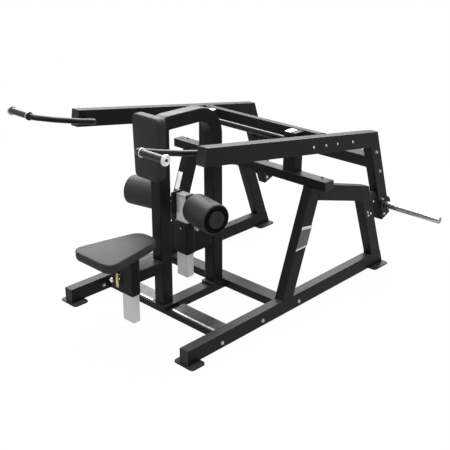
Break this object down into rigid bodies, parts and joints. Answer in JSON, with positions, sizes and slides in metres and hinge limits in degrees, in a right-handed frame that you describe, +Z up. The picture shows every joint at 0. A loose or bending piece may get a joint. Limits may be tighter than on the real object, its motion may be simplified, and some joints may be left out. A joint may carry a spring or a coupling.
{
  "type": "seated triceps machine",
  "caption": "Plate-loaded seated triceps press: steel frame, pivoting lever with handles and weight horns, sliding seat, chest pad and sliding foam leg rollers.",
  "frame": {"origin": "centre of the machine's bounding box, on the floor", "axes": "+X to the sitter's right, +Y from the seat's front to the machine's rear, which the sitter faces, +Z up"},
  "size_m": [2.1246, 2.3458, 1.4025],
  "materials": {
    "frame_paint": "satin black powder coat",
    "silver_paint": "satin silver",
    "chrome": "polished",
    "steel": "brushed",
    "rubber": "matte",
    "upholstery": "satin imitation leather",
    "yellow_plastic": "satin"
  },
  "bodies": {
    "frame": {"left_base_rail": "frame_paint", "right_base_rail": "frame_paint", "left_front_foot": "frame_paint", "right_front_foot": "frame_paint", "left_rear_foot": "frame_paint", "right_rear_foot": "frame_paint", "left_front_leg": "frame_paint", "right_front_leg": "frame_paint", "left_top_beam": "frame_paint", "right_top_beam": "frame_paint", "left_rear_leg": "frame_paint", "right_rear_leg": "frame_paint", "left_tread_plate": "steel", "right_tread_plate": "steel", "left_pivot_post": "frame_paint", "right_pivot_post": "frame_paint", "left_bumper_bracket": "frame_paint", "right_bumper_bracket": "frame_paint", "left_bumper": "rubber", "right_bumper": "rubber", "front_cross_beam": "frame_paint", "rear_cross_beam": "frame_paint", "centre_beam": "frame_paint", "upper_cross_beam": "frame_paint", "pivot_shaft": "steel", "lower_front_post": "frame_paint", "arch_tube": "frame_paint", "seat_arm_beam": "frame_paint", "seat_sleeve": "frame_paint", "roller_sleeve": "frame_paint", "roller_sleeve_beam": "frame_paint", "chest_pad": "upholstery"},
    "lever": {"left_arm": "frame_paint", "right_arm": "frame_paint", "left_arm_leg": "frame_paint", "right_arm_leg": "frame_paint", "left_hub_plate": "frame_paint", "right_hub_plate": "frame_paint", "left_handle": "frame_paint", "right_handle": "frame_paint", "left_grip": "rubber", "right_grip": "rubber", "left_grip_cap": "chrome", "right_grip_cap": "chrome", "left_weight_horn": "chrome", "right_weight_horn": "chrome", "left_horn_flange": "frame_paint", "right_horn_flange": "frame_paint", "front_bridge_tube": "frame_paint", "rear_bridge_tube": "frame_paint"},
    "seat": {"seat_post": "silver_paint", "seat_cushion": "upholstery"},
    "seat_pin": {"seat_pin": "chrome", "seat_pin_handle": "yellow_plastic"},
    "roller_carriage": {"roller_post": "silver_paint", "left_roller_arm": "frame_paint", "right_roller_arm": "frame_paint"},
    "left_roller": {"left_roller": "upholstery"},
    "right_roller": {"right_roller": "upholstery"},
    "roller_pin": {"roller_pin": "chrome"}
  },
  "joints": [
    {"name": "lever_pivot", "type": "hinge", "parent": "frame", "child": "lever", "pos_m": [0, 0.2636, 1.1], "axis": [1, 0, 0], "range_deg": [0, 22]},
    {"name": "seat_slide", "type": "slide", "parent": "frame", "child": "seat", "axis": [0, 0, 1], "range_m": [0, 0.09]},
    {"name": "roller_slide", "type": "slide", "parent": "frame", "child": "roller_carriage", "axis": [0, 0, 1], "range_m": [0, 0.12]},
    {"name": "left_roller_spin", "type": "hinge", "parent": "roller_carriage", "child": "left_roller", "pos_m": [-0.27662, -0.4377, 0.757], "axis": [0.9781, 0.2079, 0], "continuous": true},
    {"name": "right_roller_spin", "type": "hinge", "parent": "roller_carriage", "child": "right_roller", "pos_m": [0.27662, -0.4377, 0.757], "axis": [0.9781, -0.2079, 0], "continuous": true},
    {"name": "seat_pin_pull", "type": "slide", "parent": "frame", "child": "seat_pin", "axis": [-1, 0, 0], "range_m": [0, 0.012], "stiffness_N_per_m": 600, "springref_m": -0.01},
    {"name": "roller_pin_pull", "type": "slide", "parent": "frame", "child": "roller_pin", "axis": [1, 0, 0], "range_m": [0, 0.012], "stiffness_N_per_m": 600, "springref_m": -0.01}
  ]
}
